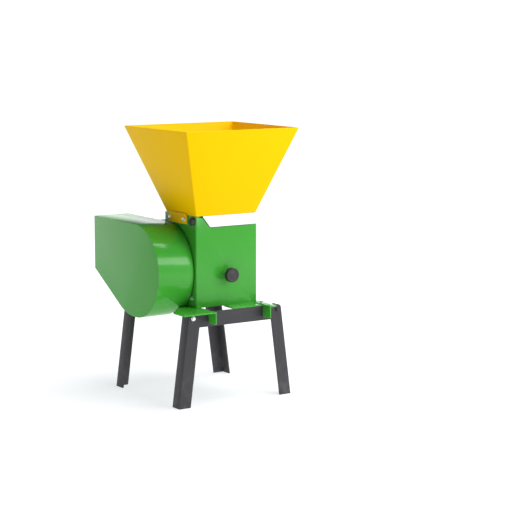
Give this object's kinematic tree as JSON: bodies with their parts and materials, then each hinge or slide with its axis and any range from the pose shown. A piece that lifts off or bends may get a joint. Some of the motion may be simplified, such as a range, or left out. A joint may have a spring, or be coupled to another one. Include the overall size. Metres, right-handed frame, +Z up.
{
  "type": "electric walnut cracker",
  "caption": "Electric walnut cracker with a square sheet hopper, slide gate, fluted drum and adjustable hinged jaw, belt driven, on a splayed angle-iron stand.",
  "frame": {"origin": "middle of the floor under the machine (bottom centre of its bounding box)", "axes": "+Z up, -Y towards the front panel and its knob, -X towards the belt guard"},
  "size_m": [0.388, 0.5018, 0.7419],
  "materials": {
    "green_paint": "gloss enamel, leaf green",
    "yellow_paint": "gloss enamel, warm yellow",
    "black_paint": "satin black enamel",
    "black_plastic": "moulded, matt",
    "grey_plastic": "moulded, matt",
    "red_plastic": "moulded, gloss",
    "green_plastic": "moulded, gloss",
    "belt_rubber": "matt rubber with a fabric face",
    "motor_paint": "satin enamel, blue-grey",
    "zinc": "bright zinc plate",
    "steel": "turned and oiled",
    "cast_iron": "machined casting"
  },
  "bodies": {
    "machine": {"front_left_leg": "black_paint", "front_left_leg_bolt": "zinc", "front_right_leg": "black_paint", "front_right_leg_bolt": "zinc", "rear_left_leg": "black_paint", "rear_left_leg_bolt": "zinc", "rear_right_leg": "black_paint", "rear_right_leg_bolt": "zinc", "front_rail": "black_paint", "rear_rail": "black_paint", "left_bearer": "green_paint", "right_bearer": "green_paint", "right_bearer_bolt": "zinc", "left_cheek": "green_paint", "right_cheek": "green_paint", "left_cheek_bolt": "zinc", "front_panel": "green_paint", "rear_panel": "green_paint", "feed_deflector": "steel", "hopper": "yellow_paint", "left_hopper_tab": "yellow_paint", "right_hopper_tab": "yellow_paint", "left_tab_front_bolt": "zinc", "left_tab_rear_bolt": "zinc", "left_gate_guide": "green_paint", "right_gate_guide": "green_paint", "left_bearing": "cast_iron", "right_bearing": "cast_iron", "drive_belt": "belt_rubber", "belt_guard": "green_paint", "upper_guard_standoff": "steel", "lower_guard_standoff": "steel", "rear_guard_standoff": "steel", "jaw_axle": "steel", "left_axle_cap": "black_plastic", "right_axle_clip": "zinc", "lock_nut": "zinc", "screw_boss": "steel", "motor_body": "motor_paint", "motor_drive_shield": "motor_paint", "motor_fan_shield": "motor_paint", "fan_cover": "motor_paint", "motor_cradle": "green_paint", "capacitor_box": "black_plastic", "switch_box": "grey_plastic", "cable_gland": "black_plastic"},
    "drum": {"crushing_drum": "cast_iron", "drum_shaft": "steel", "drum_pulley": "cast_iron"},
    "rotor": {"motor_shaft": "steel", "motor_pulley": "cast_iron", "motor_fan": "black_plastic"},
    "jaw": {"jaw_plate": "cast_iron"},
    "thrust": {"thrust_pad": "steel"},
    "adjuster": {"adjusting_screw": "steel", "adjusting_knob": "black_plastic"},
    "gate": {"slide_gate": "zinc"},
    "start_switch": {"start_button": "green_plastic"},
    "stop_switch": {"stop_button": "red_plastic"}
  },
  "joints": [
    {"name": "drum_spin", "type": "hinge", "parent": "machine", "child": "drum", "pos_m": [0.01404, -0.0284, 0.354], "axis": [1, 0, 0], "continuous": true},
    {"name": "motor_spin", "type": "hinge", "parent": "machine", "child": "rotor", "pos_m": [0.01404, 0.1406, 0.395], "axis": [1, 0, 0], "continuous": true},
    {"name": "jaw_swing", "type": "hinge", "parent": "machine", "child": "jaw", "pos_m": [0.01404, -0.1494, 0.4936], "axis": [1, 0, 0], "range_deg": [-3.5, 4]},
    {"name": "screw_travel", "type": "slide", "parent": "machine", "child": "thrust", "axis": [0, 1, 0], "range_m": [-0.00981, 0.01121]},
    {"name": "knob_turn", "type": "hinge", "parent": "thrust", "child": "adjuster", "pos_m": [0.01404, -0.1644, 0.3456], "axis": [0, 1, 0], "range_deg": [-706.16, 807.04]},
    {"name": "gate_slide", "type": "slide", "parent": "machine", "child": "gate", "axis": [0, -1, 0], "range_m": [0, 0.11]},
    {"name": "start_press", "type": "slide", "parent": "machine", "child": "start_switch", "axis": [-1, 0, 0], "range_m": [0, 0.003], "stiffness_N_per_m": 400},
    {"name": "stop_press", "type": "slide", "parent": "machine", "child": "stop_switch", "axis": [-1, 0, 0], "range_m": [0, 0.003], "stiffness_N_per_m": 400}
  ],
  "couplings": [
    {"joint": "motor_spin", "follows": "drum_spin", "ratio": 3.2909},
    {"joint": "screw_travel", "follows": "jaw_swing", "m_per_rad": 0.16023},
    {"joint": "knob_turn", "follows": "jaw_swing", "ratio": 201.36}
  ]
}
